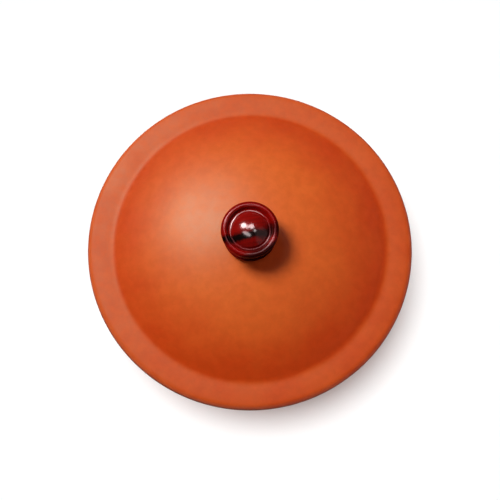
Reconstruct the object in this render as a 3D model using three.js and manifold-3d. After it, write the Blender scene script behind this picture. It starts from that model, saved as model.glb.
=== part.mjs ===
// A lidded clay curd pot, in millimetres, +Z up, standing on Z = 0 with its axis on Z.
// A thrown pot with a flat flared rim takes a domed lid, and a ring under the lid drops into its mouth.
// A turned wooden knob sits on the dome, held from below by one screw through soft washers.
import * as THREE from "three";
import { mergeVertices } from "three/addons/utils/BufferGeometryUtils.js";
import Module from "manifold-3d";

const wasm = await Module();
wasm.setup();

// Pot
const potHeight = 85; // floor to the flat top of the rim
const mouthRadius = 73; // bore of the throat
const potWall = 6.5;
const potFloor = 10; // top of the floor inside
const throatDepth = 13; // rim top down to the narrowest part of the neck
const bellyBulge = 7.5; // how far the belly stands out past the neck
const bellyHeight = 42; // height of the widest part
const rimWidth = 19;
const rimThickness = 8;
const rimRound = 2; // rounding of the rim's inner edge
const footRadius = 56;
const footWidth = 8; // width of the ring that it stands on
const footHeight = 3.5;
const footRecess = 2.5;
const footChamfer = 1;

// Lid
const lidOverhang = 3; // how far the lid reaches past the rim
const flangeWidth = 15.5; // from the edge of the lid to the foot of the dome
const flangeThickness = 9; // at the foot of the dome
const flangeFall = 0.6; // drop of the flange from there to its rounded edge
const flangeRound = 3; // width of that rounding
const domeHeight = 23; // from the foot of the dome to the flat under the knob
const lidWall = 6.5;
const ringDepth = 8; // locating ring below the flange
const ringWall = 5.5;
const ringChamfer = 1.5;
const ringClearance = 1.5; // between the locating ring and the mouth
const lidSeatGap = 0.3; // fired clay never lies quite flush on clay

// Knob
const knobRadius = 16;
const knobEdgeRound = 2.2; // half-round edge of the top disc
const knobEdgeHeight = 14.5; // base to the middle of that edge
const knobWaistRadius = 10;
const knobBaseRadius = 15;
const knobBaseRound = 1.4; // half-round edge of the foot of the knob
const knobCrownRadius = 10.8; // domed button in the top
const knobCrownRise = 3.8;
const knobGrooveDepth = 0.9; // groove between the button and the edge

// Fixings: an M5 screw, its insert and three washers
const screwRadius = 2.5;
const screwLength = 20; // under the head
const screwPoint = 0.6; // chamfer at the tip
const headRadius = 4.75;
const headHeight = 3.2;
const headRound = 1.6;
const driveLength = 5; // cross recess in the head
const driveWidth = 1.1;
const driveDepth = 1.8;
const insertRadius = 4;
const insertLength = 10;
const insertBarbs = 3;
const barbDepth = 0.4;
const barbChamfer = 0.3;
const washerRadius = 7.5;
const washerThickness = 1.2;
const cushionRadius = 8.5;
const cushionThickness = 1.5;
const knobWasherRadius = 13;
const knobWasherThickness = 1.5;
const threadClearance = 0.1; // screw to insert, both plain
const washerClearance = 0.3; // screw to washers
const holeClearance = 0.7; // screw to the hole in the lid
const stackGap = 0.1; // between pieces that are clamped face to face
const bondGap = 0.15; // glue line between the insert and the knob
const tipRoom = 1.5; // space in the knob past the screw and the insert
const landMargin = 2; // how far the flats on the lid reach past the washers on them

// Facets
const claySegments = 64;
const knobSegments = 40;
const fixingSegments = 24;

// Sizes that follow from the ones above
const neckRadius = mouthRadius + potWall;
const neckHeight = potHeight - throatDepth;
const bellyRadius = neckRadius + bellyBulge;
const rimRadius = mouthRadius + rimWidth;
const lidRadius = rimRadius + lidOverhang;
const domeRadius = lidRadius - flangeWidth;
const ringRadius = mouthRadius - ringClearance;
const ringBore = ringRadius - ringWall;
const knobLand = knobWasherRadius + landMargin;
const cushionLand = cushionRadius + landMargin;
const holeRadius = screwRadius + holeClearance;
const washerBore = screwRadius + washerClearance;

const clay = new THREE.MeshStandardMaterial({ color: 0xc8562c, roughness: 0.6, metalness: 0 });
const lacquer = new THREE.MeshStandardMaterial({ color: 0x7a0d08, roughness: 0.12, metalness: 0 });
const brass = new THREE.MeshStandardMaterial({ color: 0xc9a14a, roughness: 0.35, metalness: 1 });
const steel = new THREE.MeshStandardMaterial({ color: 0xb8bcc0, roughness: 0.35, metalness: 1 });
const rubber = new THREE.MeshStandardMaterial({ color: 0x4a3a34, roughness: 0.85, metalness: 0 });

// A point of a profile: its distance from the axis and its height.
const at = (radius, height) => new THREE.Vector2(radius, height);

// Points along part of an ellipse, from one angle in degrees to another.
function ellipse(centre, width, height, from, to, steps) {
  const [start, end] = [from, to].map(THREE.MathUtils.degToRad);
  return new THREE.EllipseCurve(centre.x, centre.y, width, height, start, end, to < from).getPoints(steps);
}

const arc = (centre, radius, from, to, steps) => ellipse(centre, radius, radius, from, to, steps);

// Points along a hollow curve that rounds off a corner between two points.
const cove = (start, corner, end, steps) => new THREE.QuadraticBezierCurve(start, corner, end).getPoints(steps);

// Points along an S that leaves and arrives upright.
function ogee(start, end, steps) {
  const middle = (start.y + end.y) / 2;
  return new THREE.CubicBezierCurve(start, at(start.x, middle), at(end.x, middle), end).getPoints(steps);
}

// The sphere centred on the axis that passes through two points of a profile.
function sphereThrough(low, high) {
  const centre = at(0, (high.lengthSq() - low.lengthSq()) / (2 * (high.y - low.y)));
  return { centre, radius: centre.distanceTo(low) };
}

// Points along the outline of such a sphere between two distances from the axis.
function sphereArc(sphere, from, to, steps) {
  const [start, end] = [from, to].map((radius) => THREE.MathUtils.radToDeg(Math.acos(radius / sphere.radius)));
  return arc(sphere.centre, sphere.radius, start, end, steps);
}

// A solid turned about Z. Its profile runs anticlockwise, with the axis on the left.
function turned(profile, segments) {
  const corners = profile.filter((point, i) => i === 0 || !point.equals(profile[i - 1]));
  return new THREE.LatheGeometry(corners, segments).rotateX(Math.PI / 2);
}

// A washer lying on height 0.
function washer(radius, thickness) {
  const low = at(washerBore, 0);
  return turned([low, at(radius, 0), at(radius, thickness), at(washerBore, thickness), low], fixingSegments);
}

function toSolid(geometry) {
  const bare = geometry.clone().deleteAttribute("normal").deleteAttribute("uv");
  const merged = mergeVertices(bare);
  return new wasm.Manifold(
    new wasm.Mesh({
      numProp: 3,
      vertProperties: merged.attributes.position.array,
      triVerts: new Uint32Array(merged.index.array),
    }),
  );
}

// What is left of a geometry when others are cut out of it.
function cut(geometry, tools) {
  const left = tools.reduce((solid, tool) => solid.subtract(toSolid(tool)), toSolid(geometry)).getMesh();
  return new THREE.BufferGeometry()
    .setAttribute("position", new THREE.BufferAttribute(left.vertProperties, left.numProp))
    .setIndex(new THREE.BufferAttribute(left.triVerts, 1));
}

function piece(name, geometry, material, height = 0) {
  const mesh = new THREE.Mesh(geometry, material);
  mesh.name = name;
  mesh.position.z = height;
  return mesh;
}

function potBody() {
  const footBore = footRadius - footWidth;
  const innerBelly = bellyRadius - potWall;
  const rimEdge = rimThickness / 2;
  const rimUnder = at(rimRadius - rimEdge, potHeight - rimThickness);
  const bowlCentre = at(footRadius, bellyHeight);
  const neck = at(neckRadius, neckHeight);
  return turned(
    [
      at(0, footRecess),
      at(footBore - footRecess, footRecess),
      at(footBore, 0),
      at(footRadius - footChamfer, 0),
      at(footRadius, footChamfer),
      ...ellipse(bowlCentre, bellyRadius - footRadius, bellyHeight - footHeight, -90, 0, 8),
      ...ogee(at(bellyRadius, bellyHeight), neck, 6),
      ...cove(neck, at(neckRadius, rimUnder.y), rimUnder, 4),
      ...arc(at(rimUnder.x, potHeight - rimEdge), rimEdge, -90, 90, 6),
      ...arc(at(mouthRadius + rimRound, potHeight - rimRound), rimRound, 90, 180, 2),
      ...ogee(at(mouthRadius, neckHeight), at(innerBelly, bellyHeight), 6),
      ...ellipse(bowlCentre, innerBelly - footRadius, bellyHeight - potFloor, 0, -90, 7),
      at(0, potFloor),
    ],
    claySegments,
  );
}

// The dome of the lid, inside and out, in heights above the underside of its flange.
const domeFoot = at(domeRadius, flangeThickness);
const domeTop = domeFoot.y + domeHeight;
const domeOuter = sphereThrough(domeFoot, at(knobLand, domeTop));
const domeInner = { centre: domeOuter.centre, radius: domeOuter.radius - lidWall };
const domeUnder = sphereArc(domeInner, cushionLand, ringBore, 1)[0].y;

// The stack on the screw, in the same heights.
const knobWasherSeat = domeTop + stackGap;
const knobSeat = knobWasherSeat + knobWasherThickness + stackGap;
const cushionSeat = domeUnder - stackGap - cushionThickness;
const washerSeat = cushionSeat - stackGap - washerThickness;
const screwSeat = washerSeat - stackGap;

function lidShell() {
  const edge = at(lidRadius - flangeRound, flangeRound); // centre of the rounding
  const edgeTop = at(edge.x, flangeThickness - flangeFall);
  return turned(
    [
      at(holeRadius, domeUnder),
      ...sphereArc(domeInner, cushionLand, ringBore, 7),
      at(ringBore, -ringDepth),
      at(ringRadius - ringChamfer, -ringDepth),
      at(ringRadius, ringChamfer - ringDepth),
      at(ringRadius, 0),
      ...arc(edge, flangeRound, -90, 0, 3),
      ...ellipse(edge, flangeRound, edgeTop.y - edge.y, 0, 90, 4),
      ...cove(edgeTop, at((edgeTop.x + domeRadius) / 2, flangeThickness), domeFoot, 3),
      ...sphereArc(domeOuter, domeRadius, knobLand, 9),
      at(holeRadius, domeTop),
      at(holeRadius, domeUnder),
    ],
    claySegments,
  );
}

// Turned knob with its base on height 0 and a blind hole for the insert.
function knob() {
  const bore = insertRadius + bondGap;
  const boreDepth = Math.max(insertLength, screwSeat + screwLength - knobSeat) + tipRoom;
  const crest = at(knobRadius - knobEdgeRound, knobEdgeHeight + knobEdgeRound);
  const discUnder = at(crest.x, knobEdgeHeight - knobEdgeRound);
  const footTop = at(knobBaseRadius - knobBaseRound, 2 * knobBaseRound);
  const waist = at(knobWaistRadius, (footTop.y + discUnder.y) / 2);
  const crownEdge = at(knobCrownRadius, crest.y);
  const grooveCorner = at((crest.x + crownEdge.x) / 2, crest.y - 2 * knobGrooveDepth);
  const crown = sphereThrough(crownEdge, at(0, crest.y + knobCrownRise));
  return turned(
    [
      at(0, boreDepth),
      at(bore, boreDepth),
      at(bore, 0),
      ...arc(at(footTop.x, knobBaseRound), knobBaseRound, -90, 90, 6),
      ...cove(footTop, at(waist.x, footTop.y), waist, 4),
      ...cove(waist, at(waist.x, discUnder.y), discUnder, 4),
      ...arc(at(crest.x, knobEdgeHeight), knobEdgeRound, -90, 90, 8),
      ...cove(crest, grooveCorner, crownEdge, 4),
      ...sphereArc(crown, crownEdge.x, 0, 5),
    ],
    knobSegments,
  );
}

// Barbed insert, glued into the knob flush with its base.
function knobInsert() {
  const bore = screwRadius + threadClearance;
  const root = insertRadius - barbDepth;
  const pitch = insertLength / insertBarbs;
  const barbs = Array.from({ length: insertBarbs }, (_, i) => [
    at(insertRadius, i * pitch),
    at(insertRadius, (i + 0.5) * pitch - barbChamfer),
    at(root, (i + 0.5) * pitch),
    at(root, (i + 1) * pitch),
  ]).flat();
  return turned([at(bore, 0), ...barbs, at(bore, insertLength), at(bore, 0)], fixingSegments);
}

// Pan-head screw, point up, with the bearing face of its head on height 0.
function knobScrew() {
  const blank = turned(
    [
      at(0, -headHeight),
      ...arc(at(headRadius - headRound, headRound - headHeight), headRound, -90, 0, 4),
      at(headRadius, 0),
      at(screwRadius, 0),
      at(screwRadius, screwLength - screwPoint),
      at(screwRadius - screwPoint, screwLength),
      at(0, screwLength),
    ],
    fixingSegments,
  );
  const slot = new THREE.BoxGeometry(driveLength, driveWidth, 2 * driveDepth).translate(0, 0, -headHeight);
  return cut(blank, [slot, slot.clone().rotateZ(Math.PI / 2)]);
}

const curdPot = new THREE.Group();
curdPot.add(piece("pot_body", potBody(), clay));

// What lifts off, placed by the underside of the lid's flange.
const lid = new THREE.Group();
lid.position.z = potHeight + lidSeatGap;
lid.add(
  piece("lid_shell", lidShell(), clay),
  piece("knob_screw", knobScrew(), steel, screwSeat),
  piece("screw_washer", washer(washerRadius, washerThickness), steel, washerSeat),
  piece("cushion_washer", washer(cushionRadius, cushionThickness), rubber, cushionSeat),
  piece("knob_washer", washer(knobWasherRadius, knobWasherThickness), rubber, knobWasherSeat),
  piece("knob", knob(), lacquer, knobSeat),
  piece("knob_insert", knobInsert(), brass, knobSeat),
);
curdPot.add(lid);

export default curdPot;
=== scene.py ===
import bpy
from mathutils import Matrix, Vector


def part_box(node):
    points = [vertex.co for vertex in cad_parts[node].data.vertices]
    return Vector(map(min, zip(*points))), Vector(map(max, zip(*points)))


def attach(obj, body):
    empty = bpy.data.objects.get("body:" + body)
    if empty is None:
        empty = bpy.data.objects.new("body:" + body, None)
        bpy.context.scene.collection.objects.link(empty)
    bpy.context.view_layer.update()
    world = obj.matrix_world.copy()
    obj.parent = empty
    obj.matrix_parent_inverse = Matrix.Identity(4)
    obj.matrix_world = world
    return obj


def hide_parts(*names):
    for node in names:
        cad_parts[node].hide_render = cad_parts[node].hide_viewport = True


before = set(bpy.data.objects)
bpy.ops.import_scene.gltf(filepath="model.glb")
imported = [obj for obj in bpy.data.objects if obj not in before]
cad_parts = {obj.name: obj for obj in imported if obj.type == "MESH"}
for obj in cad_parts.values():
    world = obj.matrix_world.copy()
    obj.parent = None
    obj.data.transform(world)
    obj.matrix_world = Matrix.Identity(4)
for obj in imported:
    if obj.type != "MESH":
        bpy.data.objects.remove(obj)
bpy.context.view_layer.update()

import math

import bmesh
import bpy
import numpy as np
from mathutils import Matrix, Vector

mm = 0.001
fullTurn = 2 * math.pi

photoView = {
    "elevation": 77.52,  # degrees above the horizon
    "distance": 0.65,
    "aim": (0.00007, -0.0014, 0.0883),  # just beside the middle of the lid's edge
    "lens": 79.73,  # millimetres
    "sensor": 36,
    "nearest": 0.01,
}


def setCamera():
    tilt = math.radians(photoView["elevation"])
    back = Vector((0, -math.cos(tilt), math.sin(tilt)))  # from the aim towards the camera
    data = bpy.data.cameras.new("photoCamera")
    data.lens = photoView["lens"]
    data.sensor_width = photoView["sensor"]
    data.clip_start = photoView["nearest"]
    camera = bpy.data.objects.new("photoCamera", data)
    bpy.context.scene.collection.objects.link(camera)
    camera.location = Vector(photoView["aim"]) + photoView["distance"] * back
    camera.rotation_euler = back.to_track_quat("Z", "Y").to_euler()
    bpy.context.scene.camera = camera


setCamera()
print("camera set")


# A profile is an array of (distance from the axis, height), anticlockwise with the axis on its left.
def lineRun(*corners):  # straight from corner to corner
    return np.array(corners, dtype=float)


def ellipseRun(centre, width, height, start, end, count=40):  # centre plus cosine and sine of a running angle
    angle = np.radians(np.linspace(start, end, count))
    return np.column_stack([centre[0] + width * np.cos(angle), centre[1] + height * np.sin(angle)])


def arcRun(centre, radius, start, end, count=40):  # the same with one radius
    return ellipseRun(centre, radius, radius, start, end, count)


def coveRun(start, corner, end, count=30):  # quadratic curve pulled towards the corner
    t = np.linspace(0, 1, count)[:, None]
    start, corner, end = np.array(start), np.array(corner), np.array(end)
    return (1 - t) ** 2 * start + 2 * t * (1 - t) * corner + t**2 * end


def ogeeRun(start, end, count=40):  # cubic curve that leaves and arrives upright
    t = np.linspace(0, 1, count)
    middle = (start[1] + end[1]) / 2
    radius = start[0] + (end[0] - start[0]) * t**2 * (3 - 2 * t)
    height = (1 - t) ** 3 * start[1] + 3 * t * (1 - t) * middle + t**3 * end[1]
    return np.column_stack([radius, height])


def sphereThrough(low, high):  # circle centred on the axis through two points: its height and its radius
    middle = (high[0] ** 2 + high[1] ** 2 - low[0] ** 2 - low[1] ** 2) / (2 * (high[1] - low[1]))
    return middle, math.hypot(low[0], low[1] - middle)


def sphereRun(middle, radius, start, end, count=80):  # height over a running distance from the axis
    out = np.linspace(start, end, count)
    return np.column_stack([out, middle + np.sqrt(radius**2 - out**2)])


def heightOn(middle, radius, out):  # the same height at one distance
    return middle + math.sqrt(radius**2 - out**2)


def lengthAlong(profile):  # running sum of the steps between points
    return np.concatenate([[0], np.cumsum(np.linalg.norm(np.diff(profile, axis=0), axis=1))])


def alongAt(profile, point):  # length up to the point of the profile that is nearest, counted out and up
    return lengthAlong(profile)[np.argmin(np.abs(profile - point).sum(axis=1))]


def pick(profile, along, places):  # points at these lengths, on straight lines between the given ones
    return np.column_stack([np.interp(places, along, profile[:, 0]), np.interp(places, along, profile[:, 1])])


def ramp(values, low, high):  # smooth step from 0 to 1
    t = np.clip((values - low) / (high - low), 0, 1)
    return t * t * (3 - 2 * t)


def between(values, start, end):  # rises over the first two limits and falls over the last two
    return ramp(values, *start) * (1 - ramp(values, *end))


def softened(runs, blur, count, closed, bendShare=0.5):
    # evenly spaced points, smoothed by a bell curve of width blur, then respaced to gather where the line bends
    profile = np.vstack(runs)
    profile = profile[np.concatenate([[True], np.linalg.norm(np.diff(profile, axis=0), axis=1) > 1e-9])]
    along = lengthAlong(profile)
    step = min(blur / 4, 0.1 * mm)
    fine = pick(profile, along, np.linspace(0, along[-1], int(along[-1] / step)))
    gap = along[-1] / (len(fine) - 1)
    reach = int(4 * blur / gap) + 1
    if closed:
        padded = np.vstack([fine[-1 - reach : -1], fine, fine[1 : reach + 1]])
    else:  # mirrored past the axis
        padded = np.vstack([fine[reach:0:-1] * [-1, 1], fine, fine[-2 : -2 - reach : -1] * [-1, 1]])
    bell = np.exp(-0.5 * (np.arange(-reach, reach + 1) * gap / blur) ** 2)
    bell /= bell.sum()
    smooth = np.column_stack([np.convolve(padded[:, k], bell, mode="valid") for k in (0, 1)])
    if not closed:
        smooth[[0, -1], 0] = 0
    heading = np.unwrap(np.arctan2(*np.diff(smooth, axis=0).T[::-1]))
    bend = np.concatenate([[0], np.abs(np.diff(heading)), [0]])
    measure = lengthAlong(smooth) / along[-1] * (1 - bendShare) + np.cumsum(bend) / bend.sum() * bendShare
    return pick(smooth, measure, np.linspace(0, measure[-1], count))


def headings(profile, closed):  # unit vectors the way the profile runs
    if closed:
        ahead, behind = np.roll(profile[:-1], -1, axis=0), np.roll(profile[:-1], 1, axis=0)
        way = np.vstack([ahead - behind, (ahead - behind)[:1]])
    else:
        way = np.gradient(profile, axis=0)
    return way / np.linalg.norm(way, axis=1, keepdims=True)


def roundness(profile, closed):  # turn to the left per length, so outer edges are positive
    way = np.unwrap(np.arctan2(*headings(profile, closed).T[::-1]))
    return np.gradient(way, lengthAlong(profile))


def turnedGrid(profile, sectors, relief=0, closed=False):  # profile carried round the axis, pushed out by relief
    turn = np.arange(sectors) / sectors * fullTurn
    way = headings(profile, closed)
    out = profile[:, :1] + relief * way[:, 1:]
    up = profile[:, 1:] - relief * way[:, :1]
    out, up = np.broadcast_arrays(out, up, np.empty((len(profile), sectors)))[:2]
    return np.stack([out * np.cos(turn), out * np.sin(turn), up], axis=-1)


throwing = {
    "wander": 0.7,  # radians that a line strays from its helix
    "wanderOver": 9 * mm,
    "twoSided": (1, 0.7),  # share and turn of an oval
    "threeSided": (0.6, 2.1),
}


def throwingLines(along, sectors, look):
    # a helix of soft ridges that climbs one pitch a turn, on a body that is slightly out of round
    turn = np.arange(sectors) / sectors * fullTurn
    stray = throwing["wander"] * np.sin(2 * turn + along[:, None] / throwing["wanderOver"])
    phase = along[:, None] / look["linePitch"] * fullTurn + turn + stray
    two, three = throwing["twoSided"], throwing["threeSided"]
    oval = two[0] * np.cos(2 * turn + two[1]) + three[0] * np.cos(3 * turn + three[1])
    return np.sin(phase), look["oval"] * oval[None, :]


def joinGrid(name, grid, closed, marks):
    # rows by sectors of points, joined round the axis; open profiles end in poles, closed ones in their first row
    rows, sectors = grid.shape[:2]
    if closed:
        grid = grid[:-1]
        rows -= 1
    index = np.arange(rows * sectors).reshape(rows, sectors)
    beside = np.roll(index, -1, axis=1)
    above = np.roll(index, -1, axis=0) if closed else index[1:]
    lower, lowerBeside = (index, beside) if closed else (index[:-1], beside[:-1])
    faces = np.stack([lower, lowerBeside, np.roll(above, -1, axis=1), above], axis=-1).reshape(-1, 4)
    mesh = bpy.data.meshes.new(name)
    mesh.from_pydata(grid.reshape(-1, 3).tolist(), [], faces.tolist())
    for label, values in marks.items():
        perPoint = np.repeat(values[:rows], sectors).astype(np.float32)
        mesh.attributes.new(label, "FLOAT", "POINT").data.foreach_set("value", perPoint)
    mesh.polygons.foreach_set("use_smooth", np.ones(len(mesh.polygons), dtype=bool))
    if not closed:
        closePoles(mesh)
    return mesh


def closePoles(mesh):  # points that meet on the axis become one
    work = bmesh.new()
    work.from_mesh(mesh)
    bmesh.ops.remove_doubles(work, verts=work.verts, dist=1e-7)
    work.to_mesh(mesh)
    work.free()


def addPiece(name, mesh, material, body, node):
    piece = bpy.data.objects.new(name, mesh)
    bpy.context.scene.collection.objects.link(piece)
    mesh.materials.append(material)
    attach(piece, body)
    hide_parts(node)
    print(name, len(mesh.polygons), "faces")
    return piece


def put(tree, kind, inputs=None, **settings):  # a new node, with each input linked or set
    node = tree.nodes.new(kind)
    for key, value in settings.items():
        setattr(node, key, value)
    for key, value in (inputs or {}).items():
        if isinstance(value, bpy.types.NodeSocket):
            tree.links.new(value, node.inputs[key])
        else:
            node.inputs[key].default_value = value
    return node


noiseSpan = (0.3, 0.7)  # most of a noise lies between these


def noise(tree, vector, scale, detail=2.0, roughness=0.5):
    inputs = {"Vector": vector, "Scale": scale, "Detail": detail, "Roughness": roughness}
    return put(tree, "ShaderNodeTexNoise", inputs).outputs["Fac"]


def spread(tree, value, low, high, first=0.0, last=1.0):
    # a value from low to high becomes first to last, with soft ends
    span = {"Value": value, 1: low, 2: high, 3: first, 4: last}
    return put(tree, "ShaderNodeMapRange", span, interpolation_type="SMOOTHSTEP").outputs["Result"]


def sums(tree, operation, first, second):
    return put(tree, "ShaderNodeMath", {0: first, 1: second}, operation=operation).outputs[0]


def weighed(tree, one, other):  # sum of two values, each times its share
    return sums(tree, "ADD", sums(tree, "MULTIPLY", *one), sums(tree, "MULTIPLY", *other))


def blend(tree, share, first, second):
    return put(tree, "ShaderNodeMix", {0: share, 6: first, 7: second}, data_type="RGBA").outputs[2]


def brightness(tree, colour, value):
    return put(tree, "ShaderNodeHueSaturation", {"Color": colour, "Value": value}).outputs["Color"]


def sideways(tree, place, way):  # distance along a line through the axis
    return put(tree, "ShaderNodeVectorMath", {0: place, 1: way}, operation="DOT_PRODUCT").outputs["Value"]


def mark(tree, label):
    return put(tree, "ShaderNodeAttribute", attribute_name=label).outputs["Fac"]


def newGroup(name, inputs, outputs):
    tree = bpy.data.node_groups.new(name, "ShaderNodeTree")
    for label, kind in inputs.items():
        tree.interface.new_socket(label, in_out="INPUT", socket_type="NodeSocket" + kind)
    for label, kind in outputs.items():
        tree.interface.new_socket(label, in_out="OUTPUT", socket_type="NodeSocket" + kind)
    return tree, put(tree, "NodeGroupInput").outputs, put(tree, "NodeGroupOutput").inputs


def newMaterial(name):
    material = bpy.data.materials.new(name)
    material.use_nodes = True
    tree = material.node_tree
    tree.nodes.clear()
    shader = put(tree, "ShaderNodeBsdfPrincipled")
    put(tree, "ShaderNodeOutputMaterial", {"Surface": shader.outputs["BSDF"]})
    place = put(tree, "ShaderNodeTexCoord").outputs["Object"]
    return material, tree, shader, place


def bumped(tree, shader, height, depth):
    bump = put(tree, "ShaderNodeBump", {"Height": height, "Distance": depth})
    tree.links.new(bump.outputs["Normal"], shader.inputs["Normal"])


driftScale = 25  # patches in which tool lines wander together


def toolRings():  # random bands along the profile that wander a little round the piece
    tree, given, result = newGroup(
        "toolRings", {"Place": "Vector", "Along": "Float", "Spacing": "Float", "Wander": "Float"}, {"Bands": "Float"}
    )
    count = sums(tree, "DIVIDE", given["Along"], given["Spacing"])
    drift = sums(tree, "MULTIPLY", noise(tree, given["Place"], driftScale), given["Wander"])
    inputs = {"W": sums(tree, "ADD", count, drift), "Scale": 1, "Detail": 2}
    bands = put(tree, "ShaderNodeTexNoise", inputs, noise_dimensions="1D")
    tree.links.new(bands.outputs["Fac"], result["Bands"])
    return tree


ringGroup = toolRings()


def ringBands(tree, place, along, spacing, wander):
    lines = put(tree, "ShaderNodeGroup", node_tree=ringGroup)
    tree.links.new(place, lines.inputs["Place"])
    tree.links.new(along, lines.inputs["Along"])
    lines.inputs["Spacing"].default_value = spacing
    lines.inputs["Wander"].default_value = wander
    return lines.outputs["Bands"]


clayPattern = {
    "cloudScale": 48,
    "cloudTone": 0.12,
    "litSide": (-0.6 / 95 / mm, 0.8 / 95 / mm, 0),  # painted light, paler towards the lit side, as a slope across the lid
    "litSideTone": 0.11,
    "mottleScale": 210,
    "mottleTone": (0.95, 1.05),
    "bareSpan": (0.75, 1.25),  # of mottle and tool lines together
    "bareTone": (0.82, 1.12),
    "grainScale": 1500,
    "gritScale": 620,
    "gritChosen": (0.8, 0.86),  # only the cells above this show a grain
    "gritSize": (0.12, 0.34),
    "gritShows": 0.55,
    "gritColour": (0.75, 0.5, 0.3, 1),
    "lineSpacing": 1.6 * mm,
    "lineWander": 2.5,
    "wornFrom": (0.5, 0.62),
    "wornTone": 0.3,
    "wornRough": 0.12,
    "dullRough": 0.12,
    "mottleRough": 0.03,
    "cloudRough": 0.025,
    "rawRough": 0.86,
    "mottleRise": 0.55,  # shares of the relief
    "lineRise": 0.2,
    "grainRise": 0.06,
    "rawGrainRise": 0.35,
    "gritRise": 0.6,
}


def firedClay():
    # clouds, mottle, grit and tool lines of burnished clay
    # Deep is its redder share, which on the lid's dome is painted shade towards the foot, Dull and Edge are wear, and
    # Raw is bare clay
    look = clayPattern
    tree, given, result = newGroup(
        "firedClay",
        {
            "Place": "Vector", "Along": "Float", "Raw": "Float", "Edge": "Float", "Deep": "Float", "Dull": "Float",
            "Pale": "Color", "Red": "Color", "Bare": "Color", "Rough": "Float",
        },
        {"Color": "Color", "Roughness": "Float", "Height": "Float"},
    )
    place = given["Place"]
    cloud = noise(tree, place, look["cloudScale"], detail=4, roughness=0.6)
    mottle = noise(tree, place, look["mottleScale"], detail=4, roughness=0.62)
    grain = noise(tree, place, look["grainScale"], detail=2)
    bands = ringBands(tree, place, given["Along"], look["lineSpacing"], look["lineWander"])
    cells = put(tree, "ShaderNodeTexVoronoi", {"Vector": place, "Scale": look["gritScale"]})
    draw = put(tree, "ShaderNodeSeparateColor", {"Color": cells.outputs["Color"]}).outputs[0]
    grit = spread(tree, cells.outputs["Distance"], *look["gritSize"], 1, 0)
    grit = sums(tree, "MULTIPLY", grit, spread(tree, draw, *look["gritChosen"]))

    clouded = spread(tree, cloud, *noiseSpan, -look["cloudTone"], look["cloudTone"])
    share = sums(tree, "ADD", given["Deep"], clouded)
    # painted light: the clay turns paler towards the lit side
    litSlope = sideways(tree, place, look["litSide"])
    share = sums(tree, "SUBTRACT", share, sums(tree, "MULTIPLY", litSlope, look["litSideTone"]))
    burnished = blend(tree, share, given["Pale"], given["Red"])
    burnished = brightness(tree, burnished, spread(tree, mottle, *noiseSpan, *look["mottleTone"]))
    uneven = spread(tree, sums(tree, "ADD", mottle, bands), *look["bareSpan"], *look["bareTone"])
    bare = brightness(tree, given["Bare"], uneven)
    bare = blend(tree, sums(tree, "MULTIPLY", grit, look["gritShows"]), bare, look["gritColour"])
    worn = sums(tree, "MULTIPLY", spread(tree, mottle, *look["wornFrom"]), given["Edge"])
    colour = blend(tree, sums(tree, "MULTIPLY", worn, look["wornTone"]), burnished, given["Bare"])
    colour = blend(tree, given["Raw"], colour, bare)
    tree.links.new(colour, result["Color"])

    patchy = sums(tree, "ADD", given["Rough"], sums(tree, "MULTIPLY", given["Dull"], look["dullRough"]))
    for pattern, most in ((mottle, look["mottleRough"]), (cloud, look["cloudRough"])):
        patchy = sums(tree, "ADD", patchy, spread(tree, pattern, *noiseSpan, -most, most))
    patchy = sums(tree, "ADD", patchy, sums(tree, "MULTIPLY", worn, look["wornRough"]))
    dull = sums(tree, "MULTIPLY", given["Raw"], sums(tree, "SUBTRACT", look["rawRough"], patchy))
    tree.links.new(sums(tree, "ADD", patchy, dull), result["Roughness"])

    smooth = weighed(tree, (mottle, look["mottleRise"]), (bands, look["lineRise"]))
    smooth = sums(tree, "ADD", smooth, sums(tree, "MULTIPLY", grain, look["grainRise"]))
    coarse = weighed(tree, (grain, look["rawGrainRise"]), (grit, look["gritRise"]))
    coarse = sums(tree, "MULTIPLY", sums(tree, "ADD", coarse, bands), given["Raw"])
    tree.links.new(sums(tree, "ADD", smooth, coarse), result["Height"])
    return tree


clayGroup = firedClay()

clayLooks = {
    "lidClay": {
        "pale": (0.655, 0.122, 0.018, 1),
        "red": (0.53, 0.050, 0.0025, 1),
        "bare": (0.50, 0.105, 0.026, 1),
        # painted shade for the dark line along the lid's edge
        "rimShade": (0.30, 0.046, 0.009, 1),
        "rough": 0.41,
    },
    "potClay": {
        "pale": (0.66, 0.115, 0.016, 1),
        "red": (0.53, 0.055, 0.004, 1),
        "bare": (0.48, 0.100, 0.025, 1),
        "rough": 0.43,
    },
}
clayRelief = 0.09 * mm
claySheen = 0.27


def clayMaterial(name):
    look = clayLooks[name]
    material, tree, shader, place = newMaterial(name)
    clay = put(tree, "ShaderNodeGroup", node_tree=clayGroup)
    tree.links.new(place, clay.inputs["Place"])
    for label in ("Along", "Raw", "Edge", "Deep", "Dull"):
        tree.links.new(mark(tree, label.lower()), clay.inputs[label])
    for label in ("Pale", "Red", "Bare", "Rough"):
        clay.inputs[label].default_value = look[label.lower()]
    colour = clay.outputs["Color"]
    if "rimShade" in look:  # only the lid has painted shade, a darker line along its edge
        colour = blend(tree, mark(tree, "rimShadeLine"), colour, look["rimShade"])
    tree.links.new(colour, shader.inputs["Base Color"])
    tree.links.new(clay.outputs["Roughness"], shader.inputs["Roughness"])
    bumped(tree, shader, clay.outputs["Height"], clayRelief)
    shader.inputs["Specular IOR Level"].default_value = claySheen
    return material


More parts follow.
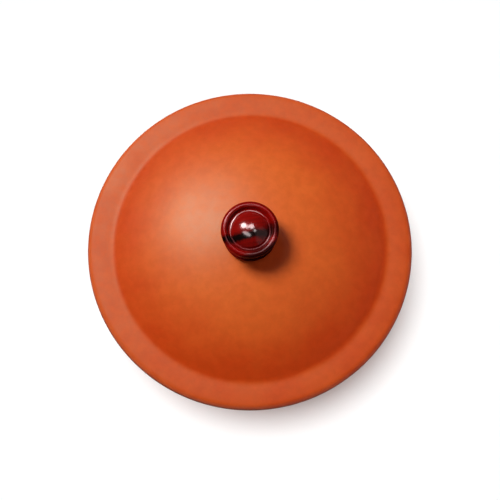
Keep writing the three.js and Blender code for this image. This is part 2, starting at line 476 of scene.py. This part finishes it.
lacquerLook = {
    "red": (0.24, 0.0024, 0.0010, 1),
    "deepRed": (0.18, 0.0018, 0.0008, 1),
    # painted shade on the bead's outer side and under the knob
    "shadedEdgeRed": (0.17, 0.0017, 0.0009, 1),
    # painted shade in the channel
    "channelShadeRed": (0.19, 0.0018, 0.0009, 1),
    "channelShadeDark": (0.08, 0.0009, 0.0006, 1),  # painted shade, darker still, on the near side of the channel
    "streak": (0.004, 0.0008, 0.0006, 1),
    "streakTurn": 11.5,  # degrees that the wood's grain is turned
    "streakAt": -3.0 * mm,
    "streakSpan": (-16 * mm, 16 * mm),  # from one side of the knob to the other
    "streakHalf": (2.2 * mm, 3.6 * mm),  # half its width there
    "streakEdge": (0.3, 1.35),  # its soft edge, in half widths
    "streakFade": (12 * mm, 0.85),  # how far along it thins out, and the share that is left
    "streakWobble": 1.6 * mm,
    "wobbleScale": 130,
    "wobbleSpan": (0.2, 0.8),
    "fibreScale": 60,
    "fibreFrom": (0.35, 0.7),
    "fibreStretch": (1, 14, 1),
    "beadShadeWay": (0.42, -0.907, 0),  # painted shade, dark on the side of the bead turned away from the lamps
    "beadShadeFrom": (9.8 * mm, 13.6 * mm),
    "beadShadeShare": 0.85,
    "channelShadeFrom": (-9 * mm, 1 * mm),  # the channel's painted shade turns from dark to red along the line of the rubbed sides
    "rubbedAndShadeWay": (-0.574, 0.819, 0),  # the sides that fingers hold, and the line along which the channel's painted shade changes
    "rubbedBead": (5 * mm, 12 * mm, -13 * mm, -8 * mm),  # reach of the far and the near rubbed side
    "rubbedHollow": (0, 8 * mm, -10 * mm, -4 * mm),
    "beadPolish": 0.2,
    "hollowPolish": (1, 0.2),  # inner and outer wall of the channel
    "crownPolish": 0.8,
    "leastPolish": 0.01,
    "latheSpacing": 0.5 * mm,
    "latheWander": 0.5,
    "latheDepth": 0.004 * mm,
    "rough": (0.15, 0.21),
    "coatRough": 0.14,
    "coatBend": 1.5,  # refractive index
    "sheen": 0.12,
    "sheenTint": (1, 0.22, 0.24, 1),
}


def lacquerMaterial():
    look = lacquerLook
    material, tree, shader, place = newMaterial("redLacquer")
    turned = {"Vector": place, "Rotation": (0, 0, -math.radians(look["streakTurn"]))}
    grainWay = put(tree, "ShaderNodeMapping", turned).outputs[0]
    part = put(tree, "ShaderNodeSeparateXYZ", {"Vector": grainWay}).outputs
    stray = noise(tree, grainWay, look["wobbleScale"], detail=3)
    wobble = spread(tree, stray, *look["wobbleSpan"], -look["streakWobble"], look["streakWobble"])
    across = sums(tree, "ADD", sums(tree, "SUBTRACT", part["Y"], look["streakAt"]), wobble)
    half = spread(tree, part["X"], *look["streakSpan"], *look["streakHalf"])
    reach = sums(tree, "DIVIDE", sums(tree, "ABSOLUTE", across, 0.0), half)
    fade = spread(tree, part["X"], 0, look["streakFade"][0], 1, look["streakFade"][1])
    streak = sums(tree, "MULTIPLY", spread(tree, reach, *look["streakEdge"], 1, 0), fade)

    stretched = put(tree, "ShaderNodeMapping", {"Vector": grainWay, "Scale": look["fibreStretch"]}).outputs[0]
    fibre = noise(tree, stretched, look["fibreScale"], detail=4)
    lean = sideways(tree, place, look["rubbedAndShadeWay"])
    # painted shade in the channel, darker on the near side
    hollow = blend(tree, spread(tree, lean, *look["channelShadeFrom"]), look["channelShadeDark"], look["channelShadeRed"])
    inHollow = sums(tree, "ADD", mark(tree, "hollowIn"), mark(tree, "hollowOut"))
    red = blend(tree, spread(tree, fibre, *look["fibreFrom"]), look["red"], look["deepRed"])
    # painted shade on the bead's outer side and under the knob
    red = blend(tree, mark(tree, "outside"), red, look["shadedEdgeRed"])
    red = blend(tree, inHollow, red, hollow)
    # painted shade on the lower right of the bead, where it turns from the lamps
    beadShade = spread(tree, sideways(tree, place, look["beadShadeWay"]), *look["beadShadeFrom"], 0, look["beadShadeShare"])
    dark = sums(tree, "MAXIMUM", streak, beadShade)
    tree.links.new(blend(tree, dark, red, look["streak"]), shader.inputs["Base Color"])

    bands = ringBands(tree, place, mark(tree, "along"), look["latheSpacing"], look["latheWander"])
    tree.links.new(spread(tree, bands, *noiseSpan, *look["rough"]), shader.inputs["Roughness"])
    bumped(tree, shader, bands, look["latheDepth"])

    farBead = spread(tree, lean, *look["rubbedBead"][:2], 0, look["beadPolish"])
    nearBead = spread(tree, lean, *look["rubbedBead"][2:], look["beadPolish"], 0)
    rubbed = {  # fingers wear two sides of the bead, and one side of each wall of the channel
        "beadTop": sums(tree, "ADD", farBead, nearBead),
        "hollowIn": spread(tree, lean, *look["rubbedHollow"][:2], 0, look["hollowPolish"][0]),
        "hollowOut": spread(tree, lean, *look["rubbedHollow"][2:], look["hollowPolish"][1], 0),
    }
    polish = 0.0
    for label, share in rubbed.items():
        polish = sums(tree, "ADD", polish, sums(tree, "MULTIPLY", mark(tree, label), share))
    polish = sums(tree, "MULTIPLY", polish, sums(tree, "SUBTRACT", 1.0, streak))  # the streak stays dull there
    crown = spread(tree, mark(tree, "crown"), 0, 1, look["leastPolish"], look["crownPolish"])
    tree.links.new(sums(tree, "ADD", polish, crown), shader.inputs["Coat Weight"])
    shader.inputs["Specular IOR Level"].default_value = look["sheen"]
    shader.inputs["Specular Tint"].default_value = look["sheenTint"]
    shader.inputs["Coat IOR"].default_value = look["coatBend"]
    shader.inputs["Coat Roughness"].default_value = look["coatRough"]
    return material


metalLooks = {
    "zincSteel": {
        "bright": (0.63, 0.63, 0.61, 1),
        "dull": (0.52, 0.53, 0.50, 1),
        "rough": (0.26, 0.46),
        "lineSpacing": 0.22 * mm,
    },
    "brass": {
        "bright": (0.76, 0.52, 0.19, 1),
        "dull": (0.60, 0.38, 0.12, 1),
        "rough": (0.28, 0.45),
        "lineSpacing": 0.3 * mm,
    },
}
metalFinish = {
    "stainScale": 420,
    "stainFrom": (0.4, 0.68),
    "stainShare": 0.5,
    "lineWander": 0.6,
    "lineShare": 0.5,
    "depth": 0.012 * mm,
}


def metalMaterial(name):
    look = metalLooks[name] | metalFinish
    material, tree, shader, place = newMaterial(name)
    stain = noise(tree, place, look["stainScale"], detail=4, roughness=0.6)
    bands = ringBands(tree, place, mark(tree, "along"), look["lineSpacing"], look["lineWander"])
    stained = blend(tree, spread(tree, stain, *look["stainFrom"]), look["bright"], look["dull"])
    tree.links.new(stained, shader.inputs["Base Color"])
    mixed = weighed(tree, (stain, look["stainShare"]), (bands, look["lineShare"]))
    tree.links.new(spread(tree, mixed, *noiseSpan, *look["rough"]), shader.inputs["Roughness"])
    bumped(tree, shader, mixed, look["depth"])
    shader.inputs["Metallic"].default_value = 1
    return material


rubberLook = {
    "black": (0.016, 0.016, 0.018, 1),
    "bloom": (0.040, 0.040, 0.042, 1),
    "bloomScale": 260,
    "bloomFrom": (0.42, 0.75),
    "grainScale": 2600,
    "grainShare": 0.5,
    "rough": (0.58, 0.82),
    "depth": 0.03 * mm,
    "sheen": 0.35,
}


def rubberMaterial():
    look = rubberLook
    material, tree, shader, place = newMaterial("washerRubber")
    bloom = noise(tree, place, look["bloomScale"], detail=4, roughness=0.6)
    grain = noise(tree, place, look["grainScale"], detail=2)
    dusty = blend(tree, spread(tree, bloom, *look["bloomFrom"]), look["black"], look["bloom"])
    tree.links.new(dusty, shader.inputs["Base Color"])
    tree.links.new(spread(tree, bloom, *noiseSpan, *look["rough"]), shader.inputs["Roughness"])
    bumped(tree, shader, sums(tree, "ADD", bloom, sums(tree, "MULTIPLY", grain, look["grainShare"])), look["depth"])
    shader.inputs["Specular IOR Level"].default_value = look["sheen"]
    return material


lidClay = clayMaterial("lidClay")
potClay = clayMaterial("potClay")
redLacquer = lacquerMaterial()
zincSteel = metalMaterial("zincSteel")
brass = metalMaterial("brass")
washerRubber = rubberMaterial()
print("materials made")

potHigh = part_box("pot_body")[1]
lidLow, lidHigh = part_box("lid_shell")
knobLow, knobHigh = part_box("knob")

potShape = {
    "mouth": 73 * mm,
    "wall": 6.5 * mm,
    "floor": 10 * mm,
    "throat": 13 * mm,
    "bellyBulge": 7.5 * mm,
    "bellyHeight": 42 * mm,
    "rimThickness": 8 * mm,
    "rimRound": 2 * mm,
    "footRadius": 56 * mm,
    "footWidth": 8 * mm,
    "footHeight": 3.5 * mm,
    "footRecess": 2.5 * mm,
    "footChamfer": 1 * mm,
    "soften": 0.5 * mm,
    "linePitch": 5 * mm,
    "lineHeight": (0.05 * mm, 0.22 * mm),  # outside and inside
    "oval": 0.15 * mm,
    "lineFoot": (3 * mm, 9 * mm),  # heights over which the throwing lines begin
    "lineRim": (16 * mm, 9 * mm),  # depths under the rim over which they end
    "lineFloor": (0, 12 * mm),  # they also fade towards the middle of the floor
    "rawInside": (-3 * mm, 6 * mm),  # the burnish ends here, along the wall from the mouth
    "rawUnder": (-3 * mm, 2 * mm),  # and here, along the wall from the foot
    "wornBend": (120, 260),  # turn per metre of an edge that wears
    "deep": 0.6,  # redder share of the clay's tone
    "rows": 330,
    "sectors": 256,
}


def buildPot():
    # foot ring, part of an ellipse up to the belly, cubic curve to the throat, hollow curve to a half-round rim
    # then the same curves again inside, less the wall
    s = potShape
    top, rim = potHigh[2], potHigh[0]
    neck = (s["mouth"] + s["wall"], top - s["throat"])
    belly = (neck[0] + s["bellyBulge"], s["bellyHeight"])
    innerBelly = (belly[0] - s["wall"], belly[1])
    edge = s["rimThickness"] / 2
    rimUnder = (rim - edge, top - s["rimThickness"])
    footBore = s["footRadius"] - s["footWidth"]
    bowl = (s["footRadius"], belly[1])
    runs = [
        lineRun((0, s["footRecess"]), (footBore - s["footRecess"], s["footRecess"]), (footBore, 0)),
        lineRun((s["footRadius"] - s["footChamfer"], 0), (s["footRadius"], s["footChamfer"])),
        ellipseRun(bowl, belly[0] - bowl[0], belly[1] - s["footHeight"], -90, 0, 80),
        ogeeRun(belly, neck),
        coveRun(neck, (neck[0], rimUnder[1]), rimUnder),
        arcRun((rimUnder[0], top - edge), edge, -90, 90),
        arcRun((s["mouth"] + s["rimRound"], top - s["rimRound"]), s["rimRound"], 90, 180),
        ogeeRun((s["mouth"], neck[1]), innerBelly),
        ellipseRun(bowl, innerBelly[0] - bowl[0], belly[1] - s["floor"], 0, -90, 80),
        lineRun((0, s["floor"])),
    ]
    profile = softened(runs, s["soften"], s["rows"], closed=False)
    along = lengthAlong(profile)
    out, up = profile.T
    inside = ramp(along, *(alongAt(profile, (s["mouth"], top - s["rimRound"])) + np.array(s["rawInside"])))
    under = 1 - ramp(along, *(alongAt(profile, (s["footRadius"], 0)) + np.array(s["rawUnder"])))
    belowRim = 1 - ramp(up, *(top - np.array(s["lineRim"])))
    free = ramp(up, *s["lineFoot"]) * belowRim  # off the foot and the rim
    free = np.maximum(free, inside * belowRim * ramp(out, *s["lineFloor"]))
    lines, oval = throwingLines(along, s["sectors"], s)
    height = s["lineHeight"][0] + (s["lineHeight"][1] - s["lineHeight"][0]) * inside
    relief = (free * height)[:, None] * lines + (free * (1 - 2 * inside))[:, None] * oval
    marks = {
        "along": along,
        "raw": np.maximum(inside, under),
        "edge": ramp(roundness(profile, False), *s["wornBend"]),
        "deep": np.full(len(profile), s["deep"]),
        "dull": np.ones(len(profile)),
    }
    mesh = joinGrid("clayPot", turnedGrid(profile, s["sectors"], relief), False, marks)
    return addPiece("clayPot", mesh, potClay, "pot", "pot_body")


lidShape = {
    "ringDepth": 8 * mm,
    "ringRadius": 71.5 * mm,
    "ringWall": 5.5 * mm,
    "ringChamfer": 1.5 * mm,
    "flangeWidth": 15.5 * mm,
    "flangeThickness": 9 * mm,
    "flangeFall": 0.6 * mm,
    "flangeRound": 3 * mm,
    "domeCove": 2.2 * mm,  # half width of the hollow at the foot of the dome
    "rimShadeLine": (0.8 * mm, 0.2 * mm),  # painted shade, a dark line on the widest part of the edge, in from it
    "wall": 6.5 * mm,
    "hole": 3.2 * mm,
    "knobLand": 15 * mm,
    "cushionLand": 10.5 * mm,
    "soften": 0.9 * mm,
    "linePitch": 4 * mm,
    "lineHeight": (0.012 * mm, 0.15 * mm),  # outside and inside
    "oval": 0.05 * mm,
    "domeLines": (16 * mm, 22 * mm),  # the lines begin over these distances from the axis
    "domeLinesEnd": (22 * mm, 16 * mm),  # and end over these, in from the edge
    "ceilingLines": (13 * mm, 20 * mm),
    "ceilingLinesEnd": (9 * mm, 3 * mm),  # in from the ring below
    "rawUnder": (14 * mm, 4 * mm),  # the burnish ends here, along the flange's underside from its edge
    "wornBend": (150, 320),  # turn per metre of an edge that wears
    "footShade": (32 * mm, 82 * mm),  # painted shade: where the dome turns from pale to red, out from the knob
    "flangeDeep": 0.6,
    "flangeBlend": 1.5 * mm,
    "rows": 300,
    "sectors": 288,
}


def buildLid():
    # ceiling and dome are balls about one centre on the axis, a wall apart
    # the locating ring hangs from the ceiling, and the flange has a quarter circle and a quarter ellipse for its edge
    s = lidShape
    under, top, rim = lidLow[2] + s["ringDepth"], lidHigh[2], lidHigh[0]
    edge = (rim - s["flangeRound"], under + s["flangeRound"])
    edgeTop = (edge[0], under + s["flangeThickness"] - s["flangeFall"])
    foot = (rim - s["flangeWidth"], under + s["flangeThickness"])
    bore = s["ringRadius"] - s["ringWall"]
    middle, outer = sphereThrough(foot, (s["knobLand"], top))
    inner = outer - s["wall"]
    ceiling = heightOn(middle, inner, s["cushionLand"])
    coveIn = (foot[0] - s["domeCove"], heightOn(middle, outer, foot[0] - s["domeCove"]))
    coveOut = (foot[0] + s["domeCove"], foot[1])
    runs = [
        lineRun((s["hole"], ceiling)),
        sphereRun(middle, inner, s["cushionLand"], bore),
        lineRun((bore, lidLow[2]), (s["ringRadius"] - s["ringChamfer"], lidLow[2])),
        lineRun((s["ringRadius"], lidLow[2] + s["ringChamfer"]), (s["ringRadius"], under)),
        arcRun(edge, s["flangeRound"], -90, 0),
        ellipseRun(edge, s["flangeRound"], edgeTop[1] - edge[1], 0, 90),
        coveRun(edgeTop, ((edgeTop[0] + coveOut[0]) / 2, foot[1]), coveOut),
        coveRun(coveOut, foot, coveIn),
        sphereRun(middle, outer, coveIn[0], s["knobLand"]),
        lineRun((s["hole"], top), (s["hole"], ceiling)),
    ]
    profile = softened(runs, s["soften"], s["rows"], closed=True)
    along = lengthAlong(profile)
    out = profile[:, 0]
    brim = along[np.argmax(out)]
    onCeiling = (along < brim) * between(out, s["ceilingLines"], bore - np.array(s["ceilingLinesEnd"]))
    onDome = (along > brim) * between(out, s["domeLines"], rim - np.array(s["domeLinesEnd"]))
    lines, oval = throwingLines(along, s["sectors"], s)
    height = onDome * s["lineHeight"][0] + onCeiling * s["lineHeight"][1]
    relief = height[:, None] * lines + onDome[:, None] * oval
    onFlange = ramp(out, foot[0] - s["flangeBlend"], foot[0] + s["flangeBlend"])
    marks = {
        "along": along,
        "raw": 1 - ramp(along, *(brim - np.array(s["rawUnder"]))),
        "edge": ramp(roundness(profile, True), *s["wornBend"]),
        # painted shade: the dome redder and darker towards its foot, the flange of one tone
        "deep": ramp(out, *s["footShade"]) * (1 - onFlange) + s["flangeDeep"] * onFlange,
        "dull": onFlange,
        # painted shade on the widest part of the edge
        "rimShadeLine": ramp(out, *(rim - np.array(s["rimShadeLine"]))),
    }
    mesh = joinGrid("clayLid", turnedGrid(profile, s["sectors"], relief, closed=True), True, marks)
    return addPiece("clayLid", mesh, lidClay, "lid", "lid_shell")


knobShape = {
    "beadRadius": 2 * mm,  # of the round bead that forms the edge
    "edgeHeight": 14.2 * mm,
    "waist": 10 * mm,
    "baseRadius": 15 * mm,
    "baseRound": 1.4 * mm,
    "crownBulge": 16.8 * mm,  # radius of its curve
    "channelRadius": 10.9 * mm,  # a hollow ring between the crown and the bead
    "channelHollow": 1.6 * mm,
    "bore": 4.15 * mm,
    "boreDepth": 11.5 * mm,
    "soften": 0.12 * mm,
    "crownEdge": (9.6 * mm, 10.1 * mm),  # the crown's polish ends over these distances from the axis
    "wallEdge": (10.6 * mm, 11.2 * mm),  # from the inner wall of the channel to the outer one
    "beadEdge": (12.1 * mm, 12.6 * mm),
    "beadSide": (0.3 * mm, 1.6 * mm),  # out from the middle of the bead
    "rows": 300,
    "sectors": 192,
}


def buildKnob():
    # half-round foot, two hollow curves that meet at the waist, then bead, channel and crown
    # these three are parts of circles that touch without a corner
    s = knobShape
    base, rim = knobLow[2], knobHigh[0]
    bead = (rim - s["beadRadius"], base + s["edgeHeight"])
    discUnder = (bead[0], bead[1] - s["beadRadius"])
    footTop = (s["baseRadius"] - s["baseRound"], base + 2 * s["baseRound"])
    waist = (s["waist"], (footTop[1] + discUnder[1]) / 2)
    beadReach, crownReach = s["beadRadius"] + s["channelHollow"], s["crownBulge"] + s["channelHollow"]
    inward = math.acos((bead[0] - s["channelRadius"]) / beadReach)  # where bead and channel touch
    channel = (s["channelRadius"], bead[1] + beadReach * math.sin(inward))
    outward = math.acos(channel[0] / crownReach)  # where crown and channel touch
    middle = channel[1] - crownReach * math.sin(outward)
    inward, outward = math.degrees(inward), math.degrees(outward)
    runs = [
        lineRun((0, base + s["boreDepth"]), (s["bore"], base + s["boreDepth"]), (s["bore"], base)),
        arcRun((footTop[0], base + s["baseRound"]), s["baseRound"], -90, 90),
        coveRun(footTop, (waist[0], footTop[1]), waist),
        coveRun(waist, (waist[0], discUnder[1]), discUnder),
        arcRun(bead, s["beadRadius"], -90, 180 - inward, 80),
        arcRun(channel, s["channelHollow"], -inward, outward - 180),
        sphereRun(middle, s["crownBulge"], s["crownBulge"] * math.cos(math.radians(outward)), 0),
    ]
    profile = softened(runs, s["soften"], s["rows"], closed=False)
    out, high = profile.T
    past = np.arange(len(out)) > np.argmax(out)  # over the edge
    upper = past * ((out < bead[0]) | (high > bead[1] + 0.5 * s["beadRadius"]))
    crown = upper * (1 - ramp(out, *s["crownEdge"]))
    wallShare, beadShare = ramp(out, *s["wallEdge"]), ramp(out, *s["beadEdge"])
    marks = {
        "along": lengthAlong(profile),
        # the bead's outer side and the underside, which take painted shade
        "outside": np.maximum(ramp(out, *(bead[0] + np.array(s["beadSide"]))), ~past),
        "crown": crown,
        "hollowIn": upper * (1 - crown) * (1 - wallShare),
        "hollowOut": upper * wallShare * (1 - beadShare),
        "beadTop": upper * beadShare,
    }
    mesh = joinGrid("turnedKnob", turnedGrid(profile, s["sectors"]), False, marks)
    return addPiece("turnedKnob", mesh, redLacquer, "knob", "knob")


screwShape = {
    "radius": 2.5 * mm,
    "headHeight": 3.2 * mm,
    "headRound": 1.6 * mm,
    "point": 0.6 * mm,
    "pitch": 0.8 * mm,
    "threadDepth": 0.45 * mm,
    "plain": 2 * mm,  # shank without thread under the head
    "crossLength": 5 * mm,
    "crossWidth": 1.1 * mm,
    "crossDepth": 1.8 * mm,
    "crossSlope": 0.25 * mm,
    "crossEnd": (0.5 * mm, 0.2 * mm),  # under the seat, where the head is pressed no more
    "runOut": (0.6, 0.9),  # shares of the radius over which the thread fades at the point
    "soften": 0.1 * mm,
    "rows": 330,
    "sectors": 120,
}


def buildScrew():
    # a turned pan head and shank; the thread is a zigzag that climbs one pitch a turn
    # the cross is two bars with soft sides, pressed up into the head
    s = screwShape
    low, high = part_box("knob_screw")
    head, seat = high[0], low[2] + s["headHeight"]
    runs = [
        lineRun((0, low[2])),
        arcRun((head - s["headRound"], low[2] + s["headRound"]), s["headRound"], -90, 0),
        lineRun((head, seat), (s["radius"], seat)),
        lineRun((s["radius"], high[2] - s["point"]), (s["radius"] - s["point"], high[2]), (0, high[2])),
    ]
    profile = softened(runs, s["soften"], s["rows"], closed=False, bendShare=0.25)
    along = lengthAlong(profile)
    turn = np.arange(s["sectors"]) / s["sectors"]
    start = seat + s["plain"]
    shank = ramp(profile[:, 1], start, start + s["pitch"])
    shank = shank * ramp(profile[:, 0], *(s["radius"] * np.array(s["runOut"])))
    phase = (profile[:, 1:] / s["pitch"] - turn) % 1
    relief = -s["threadDepth"] * shank[:, None] * np.abs(2 * phase - 1)
    grid = turnedGrid(profile, s["sectors"], relief)
    x, y = np.abs(grid[..., 0]), np.abs(grid[..., 1])
    slope = s["crossSlope"]
    bars = [
        ramp(s["crossLength"] / 2 - one, -slope, slope) * ramp(s["crossWidth"] / 2 - other, -slope / 2, slope / 2)
        for one, other in ((x, y), (y, x))
    ]
    bottom = 1 - ramp(grid[..., 2], *(seat - np.array(s["crossEnd"])))
    grid[..., 2] += s["crossDepth"] * np.maximum(*bars) * bottom
    mesh = joinGrid("panHeadScrew", grid, False, {"along": along})
    return addPiece("panHeadScrew", mesh, zincSteel, "lid", "knob_screw")


washerShapes = {
    "flatWasher": {
        "node": "screw_washer",
        "body": "lid_washers",
        "slot": "zinc_steel",
        "soften": 0.16 * mm,
        "bulge": 0,
    },
    "cushionWasher": {
        "node": "cushion_washer",
        "body": "lid_washers",
        "slot": "washer_rubber",
        "soften": 0.2 * mm,
        "bulge": 0.35 * mm,
    },
    "knobWasher": {
        "node": "knob_washer",
        "body": "lid",
        "slot": "washer_rubber",
        "soften": 0.2 * mm,
        "bulge": 0.35 * mm,
    },
}
washerBore = 2.8 * mm


def buildWasher(name, material, rows=90, sectors=160):  # a flat ring; the rim of a soft one bulges in half a sine
    s = washerShapes[name]
    low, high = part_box(s["node"])
    t = np.linspace(0, 1, 30)
    rim = np.column_stack([high[0] + s["bulge"] * (np.sin(t * math.pi) - 1), low[2] + (high[2] - low[2]) * t])
    runs = [lineRun((washerBore, low[2])), rim, lineRun((washerBore, high[2]), (washerBore, low[2]))]
    profile = softened(runs, s["soften"], rows, closed=True, bendShare=0.6)
    mesh = joinGrid(name, turnedGrid(profile, sectors, closed=True), True, {"along": lengthAlong(profile)})
    return addPiece(name, mesh, material, s["body"], s["node"])


pieces = {
    "pot": buildPot(),
    "lid": buildLid(),
    "knob": buildKnob(),
    "screw": buildScrew(),
    "flatWasher": buildWasher("flatWasher", zincSteel),
    "cushionWasher": buildWasher("cushionWasher", washerRubber),
    "knobWasher": buildWasher("knobWasher", washerRubber),
    "insert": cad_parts["knob_insert"],
}
pieces["insert"].data.materials.clear()
pieces["insert"].data.materials.append(brass)
print("pieces made")

stageLook = {
    "floorRadius": 2.6,
    "coveRadius": 0.4,
    "wallHeight": 0.75,
    "drop": 0.2 * mm,
    "sectors": 128,
    "albedo": (0.87, 0.9, 0.9, 1),  # a little cool, against the warm light that the clay throws on it
    "wallWhite": (0.02, 0.3, 0, 0.6),  # between these heights the wall glows from this strength to that
}


def buildStage():  # a flat floor, a quarter round and a low wall, carried round the axis
    s = stageLook
    runs = [
        lineRun((0, 0), (s["floorRadius"], 0)),
        arcRun((s["floorRadius"], s["coveRadius"]), s["coveRadius"], -90, 0),
        lineRun((s["floorRadius"] + s["coveRadius"], s["wallHeight"])),
    ]
    profile = np.vstack(runs) - [0, s["drop"]]
    mesh = joinGrid("studioFloor", turnedGrid(profile, s["sectors"]), False, {})
    mesh.flip_normals()
    floor = bpy.data.objects.new("studioFloor", mesh)
    bpy.context.scene.collection.objects.link(floor)
    material, tree, shader, place = newMaterial("studioWhite")
    shader.inputs["Base Color"].default_value = s["albedo"]
    shader.inputs["Roughness"].default_value = 1
    shader.inputs["Specular IOR Level"].default_value = 0
    height = put(tree, "ShaderNodeSeparateXYZ", {"Vector": place}).outputs["Z"]
    path = put(tree, "ShaderNodeLightPath").outputs
    mirrored = sums(tree, "MAXIMUM", path["Is Glossy Ray"], path["Is Transmission Ray"])
    seen = sums(tree, "MAXIMUM", path["Is Camera Ray"], mirrored)
    shader.inputs["Emission Color"].default_value = (1, 1, 1, 1)
    lift = sums(tree, "MULTIPLY", seen, spread(tree, height, *s["wallWhite"]))
    tree.links.new(lift, shader.inputs["Emission Strength"])
    mesh.materials.append(material)
    floor.visible_glossy = False  # no piece mirrors the floor or the wall
    return floor


def aimed(name, data, towards, along=(1, 0, 0), distance=2.4, target=(0, 0, 0.1)):
    # a lamp that faces the target, with its length turned along a line
    lamp = bpy.data.objects.new(name, data)
    bpy.context.scene.collection.objects.link(lamp)
    way = Vector(towards).normalized()
    side = (Vector(along) - way * way.dot(Vector(along))).normalized()
    lamp.location = Vector(target) + way * distance
    lamp.rotation_euler = Matrix((side, way.cross(side), way)).transposed().to_euler()
    return lamp


def lightOnly(lamp, members):
    group = bpy.data.collections.new(lamp.name + "Lights")
    for member in members:
        group.objects.link(member)
    lamp.light_linking.receiver_collection = group


floor = buildStage()
knobOnly = [pieces["knob"]]
clayOnly = [pieces["pot"], pieces["lid"]]
notKnob = [piece for piece in pieces.values() if piece is not pieces["knob"]]
lampLook = {  # lamps that shade show in no reflection, and a sheen or glint is nothing but a reflection
    "keyLamp": {
        "on": notKnob, "glossy": False, "watts": 59, "size": (0.9, 0.9),
        "towards": (-0.441, 0.320, 0.839),
    },
    "fillLamp": {
        "on": clayOnly, "glossy": False, "watts": 19.5, "size": (4, 4), "tint": (1, 0.42, 0.28),
        "towards": (0.785, -0.069, 0.616),
    },
    "keySheen": {
        "on": notKnob, "diffuse": False, "watts": 80, "size": (1.5, 1.5), "tint": (0.52, 1, 0.84),
        "towards": (-0.385, 0.398, 0.833),
    },
    "knobLamp": {
        "on": knobOnly, "glossy": False, "watts": 68, "size": (0.8, 0.8),
        "towards": (-0.494, 0.408, 0.766),
    },
    "keyGlint": {
        "on": knobOnly, "diffuse": False, "watts": 49, "size": (0.82, 0.82),
        "towards": (-0.386, 0.416, 0.823),
    },
    "farGlint": {
        "on": knobOnly, "diffuse": False, "watts": 14, "size": (0.72, 0.6),
        "towards": (-0.165, 0.326, 0.931), "along": (0.28, 0, 0.05),
    },
    "middleGlint": {
        "on": knobOnly, "diffuse": False, "watts": 26, "size": (0.78, 0.74),
        "towards": (0.108, 0.351, 0.930), "along": (0.26, 0, 0),
    },
    "rightGlint": {
        "on": knobOnly, "diffuse": False, "watts": 4, "size": (0.36, 0.42),
        "towards": (0.321, 0.086, 0.943),
    },
    "nearGlint": {
        "on": knobOnly, "diffuse": False, "watts": 17, "size": (1.45, 0.5),
        "towards": (-0.206, -0.120, 0.971), "along": (0.539, -0.317, 0.075),
    },
    "sideGlint": {
        "on": knobOnly, "diffuse": False, "watts": 5, "size": (3.0, 2.2),
        "towards": (0.73, -0.21, 0.652), "along": (-0.031, -0.853, -0.336),
    },
}
for name, look in lampLook.items():
    data = bpy.data.lights.new(name, "AREA")
    data.shape = "ELLIPSE"
    data.size, data.size_y = look["size"]
    data.energy = look["watts"]
    data.color = look.get("tint", (1, 1, 1))
    lamp = aimed(name, data, look["towards"], look.get("along", (1, 0, 0)))
    lamp.visible_diffuse = look.get("diffuse", True)
    lamp.visible_glossy = look.get("glossy", True)
    lightOnly(lamp, look["on"])

floorLook = {"towards": (-0.112, -0.03, 1), "width": 21, "strength": 3.45}  # a wide sun, in degrees
sun = bpy.data.lights.new("floorLamp", "SUN")
sun.angle = math.radians(floorLook["width"])
sun.energy = floorLook["strength"]
lightOnly(aimed("floorLamp", sun, floorLook["towards"]), [floor])

airStrength = 0.04
world = bpy.data.worlds.new("studioAir")
bpy.context.scene.world = world
world.use_nodes = True
air = world.node_tree.nodes["Background"].inputs
air["Color"].default_value = (1, 1, 1, 1)
air["Strength"].default_value = airStrength
bpy.context.scene.view_settings.view_transform = "Standard"
print("stage and lamps set")
